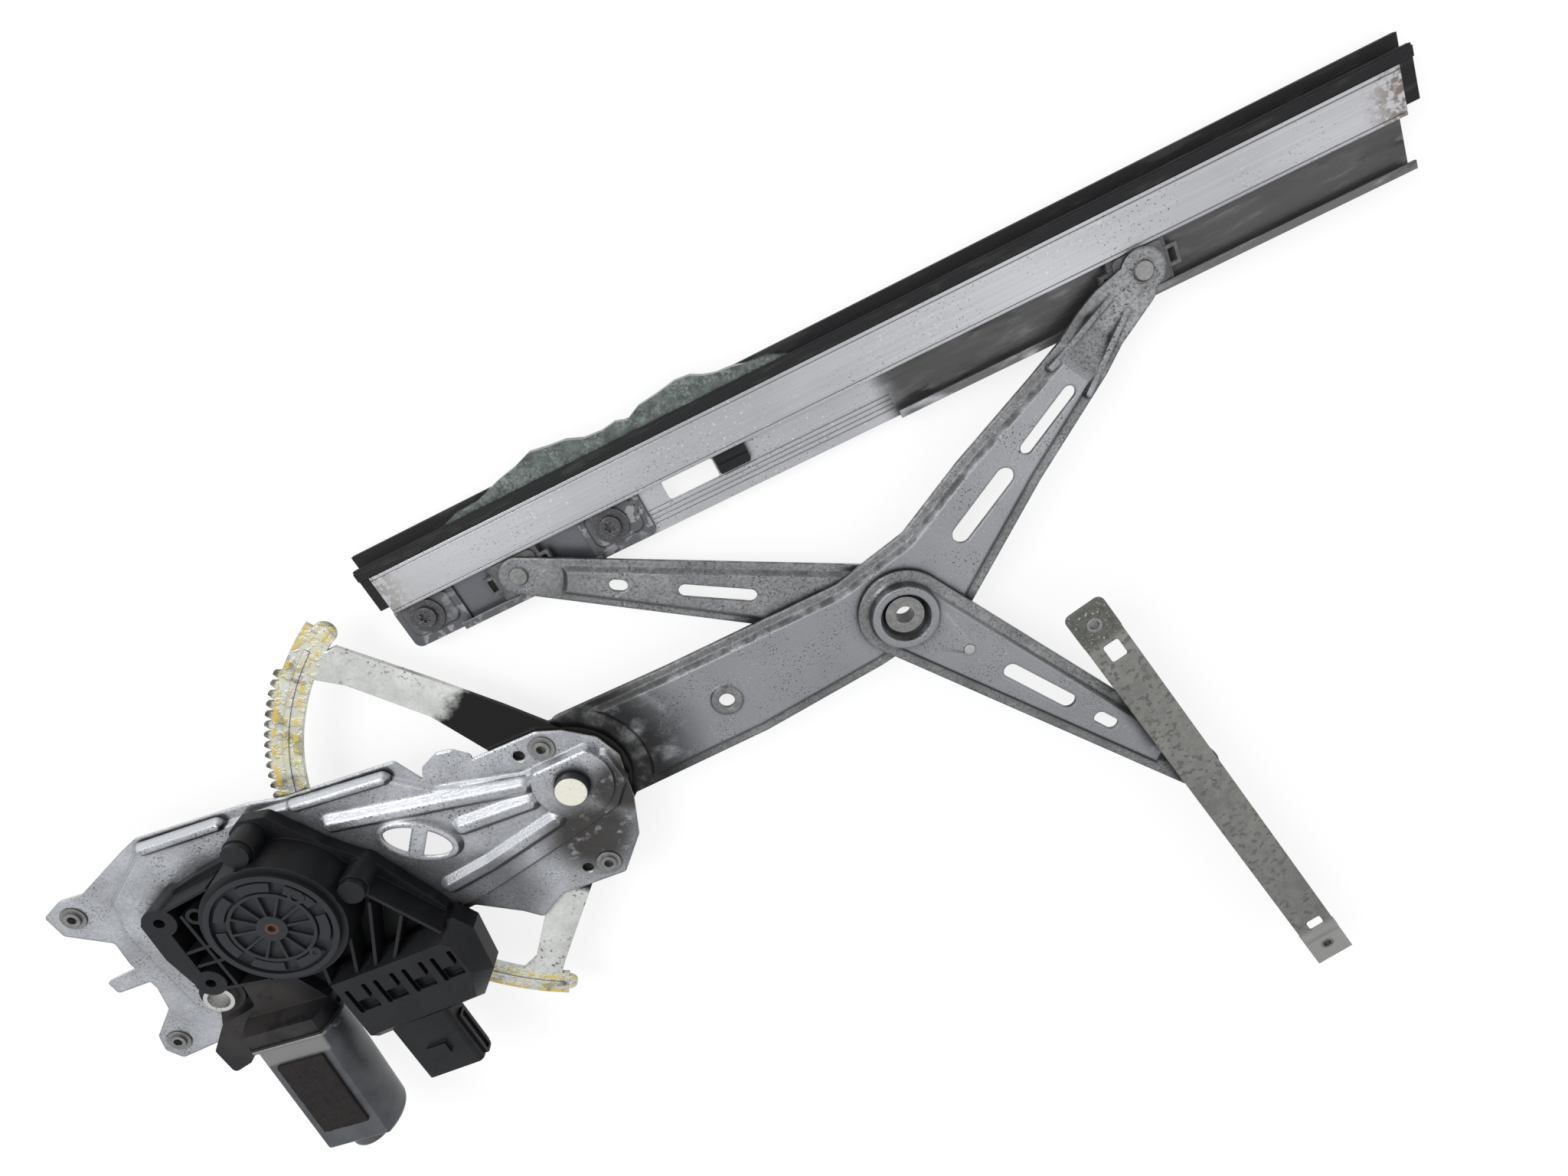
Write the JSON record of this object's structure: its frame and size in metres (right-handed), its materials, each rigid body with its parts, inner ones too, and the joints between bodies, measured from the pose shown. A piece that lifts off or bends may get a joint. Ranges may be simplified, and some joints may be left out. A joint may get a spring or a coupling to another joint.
{
  "type": "window regulator",
  "caption": "Power window regulator: geared sector arm and bent cross arm carry a lift rail with its glass channel, guided by a second rail.",
  "frame": {"origin": "mouth of the threaded base insert beside the main pivot, on the face that seats on the door panel", "axes": "+X along the lift rail, away from the motor; +Y up the door, towards the glass; +Z out of the base plate's motor side"},
  "size_m": [0.8077, 0.4916, 0.0616],
  "materials": {
    "plate_zinc": "satin",
    "fastener_steel": "satin",
    "arm_steel": "satin",
    "sector_steel": "satin",
    "guide_steel": "matte",
    "rail_aluminium": "satin",
    "can_steel": "satin",
    "bracket_paint": "satin",
    "screw_black": "satin",
    "gearbox_black": "matte",
    "dark_polymer": "matte",
    "slider_polymer": "matte",
    "wheel_polymer": "matte",
    "dark_rubber": "matte",
    "foam": "matte",
    "glass": "gloss"
  },
  "bodies": {
    "base": {"base_plate": "plate_zinc", "base_inserts": "fastener_steel", "pivot_bushing": "dark_polymer", "gearbox_screws": "fastener_steel", "gearbox_housing": "gearbox_black", "gear_cover": "gearbox_black", "module_housing": "gearbox_black", "connector_socket": "gearbox_black", "connector_latch": "gearbox_black", "can_gasket": "dark_rubber", "motor_can": "can_steel", "can_pad": "foam", "steel_bushing": "fastener_steel", "housing_plugs": "dark_polymer"},
    "drive": {"pinion_gear": "fastener_steel", "worm_wheel": "wheel_polymer"},
    "main_arm": {"main_arm": "arm_steel", "sector_gear": "sector_steel", "sector_rivets": "fastener_steel", "pivot_pin": "fastener_steel", "right_lift_rivet": "fastener_steel"},
    "cross_arm": {"front_cross_arm": "arm_steel", "rear_cross_arm": "arm_steel", "cross_sleeve": "fastener_steel", "cross_rivet": "fastener_steel", "left_lift_rivet": "fastener_steel", "guide_rivet": "fastener_steel"},
    "right_slider": {"right_slider": "slider_polymer"},
    "left_slider": {"left_slider": "slider_polymer"},
    "guide_slider": {"guide_slider": "slider_polymer"},
    "lift_rail": {"lift_rail": "rail_aluminium", "slider_bracket": "bracket_paint", "bracket_screws": "screw_black", "bracket_washers": "screw_black", "bracket_nuts": "fastener_steel", "rail_clip": "dark_polymer", "glass_channel": "dark_rubber", "window_glass": "glass"},
    "guide_rail": {"guide_rail": "guide_steel", "guide_inserts": "fastener_steel"}
  },
  "joints": [
    {"name": "lift", "type": "hinge", "parent": "base", "child": "main_arm", "pos_m": [0.0048, -0.0249, -0.0042], "axis": [0, 0, 1], "range_deg": [-40, 22]},
    {"name": "drive", "type": "hinge", "parent": "base", "child": "drive", "pos_m": [-0.16277, -0.01289, -0.0032], "axis": [0, 0, 1], "range_deg": [-348, 632.5]},
    {"name": "cross_pivot", "type": "hinge", "parent": "main_arm", "child": "cross_arm", "pos_m": [0.20263, -0.01661, -0.0032], "axis": [0, 0, 1], "range_deg": [-44.5, 80.5]},
    {"name": "left_slider_pivot", "type": "hinge", "parent": "cross_arm", "child": "left_slider", "pos_m": [0.03768, 0.08646, -0.0142], "axis": [0, 0, 1], "range_deg": [-40.5, 22.5]},
    {"name": "rail_shift", "type": "slide", "parent": "left_slider", "child": "lift_rail", "axis": [1, 0, 0], "range_m": [-0.012, 0.012]},
    {"name": "right_slider_pivot", "type": "hinge", "parent": "main_arm", "child": "right_slider", "pos_m": [0.36757, 0.08646, -0.0142], "axis": [0, 0, 1], "range_deg": [-22.5, 40.5]},
    {"name": "guide_swivel", "type": "hinge", "parent": "cross_arm", "child": "guide_slider", "pos_m": [0.31335, -0.18076, 0.0058], "axis": [0, 0, 1], "range_deg": [-15, 73]},
    {"name": "guide_slide", "type": "slide", "parent": "guide_slider", "child": "guide_rail", "axis": [0.2198, -0.9755, 0], "range_m": [-0.08, 0.088]}
  ],
  "couplings": [
    {"joint": "drive", "follows": "lift", "ratio": -15.8},
    {"joint": "cross_pivot", "follows": "lift", "ratio": -2},
    {"joint": "left_slider_pivot", "follows": "lift", "ratio": 1},
    {"joint": "right_slider_pivot", "follows": "lift", "ratio": -1}
  ]
}
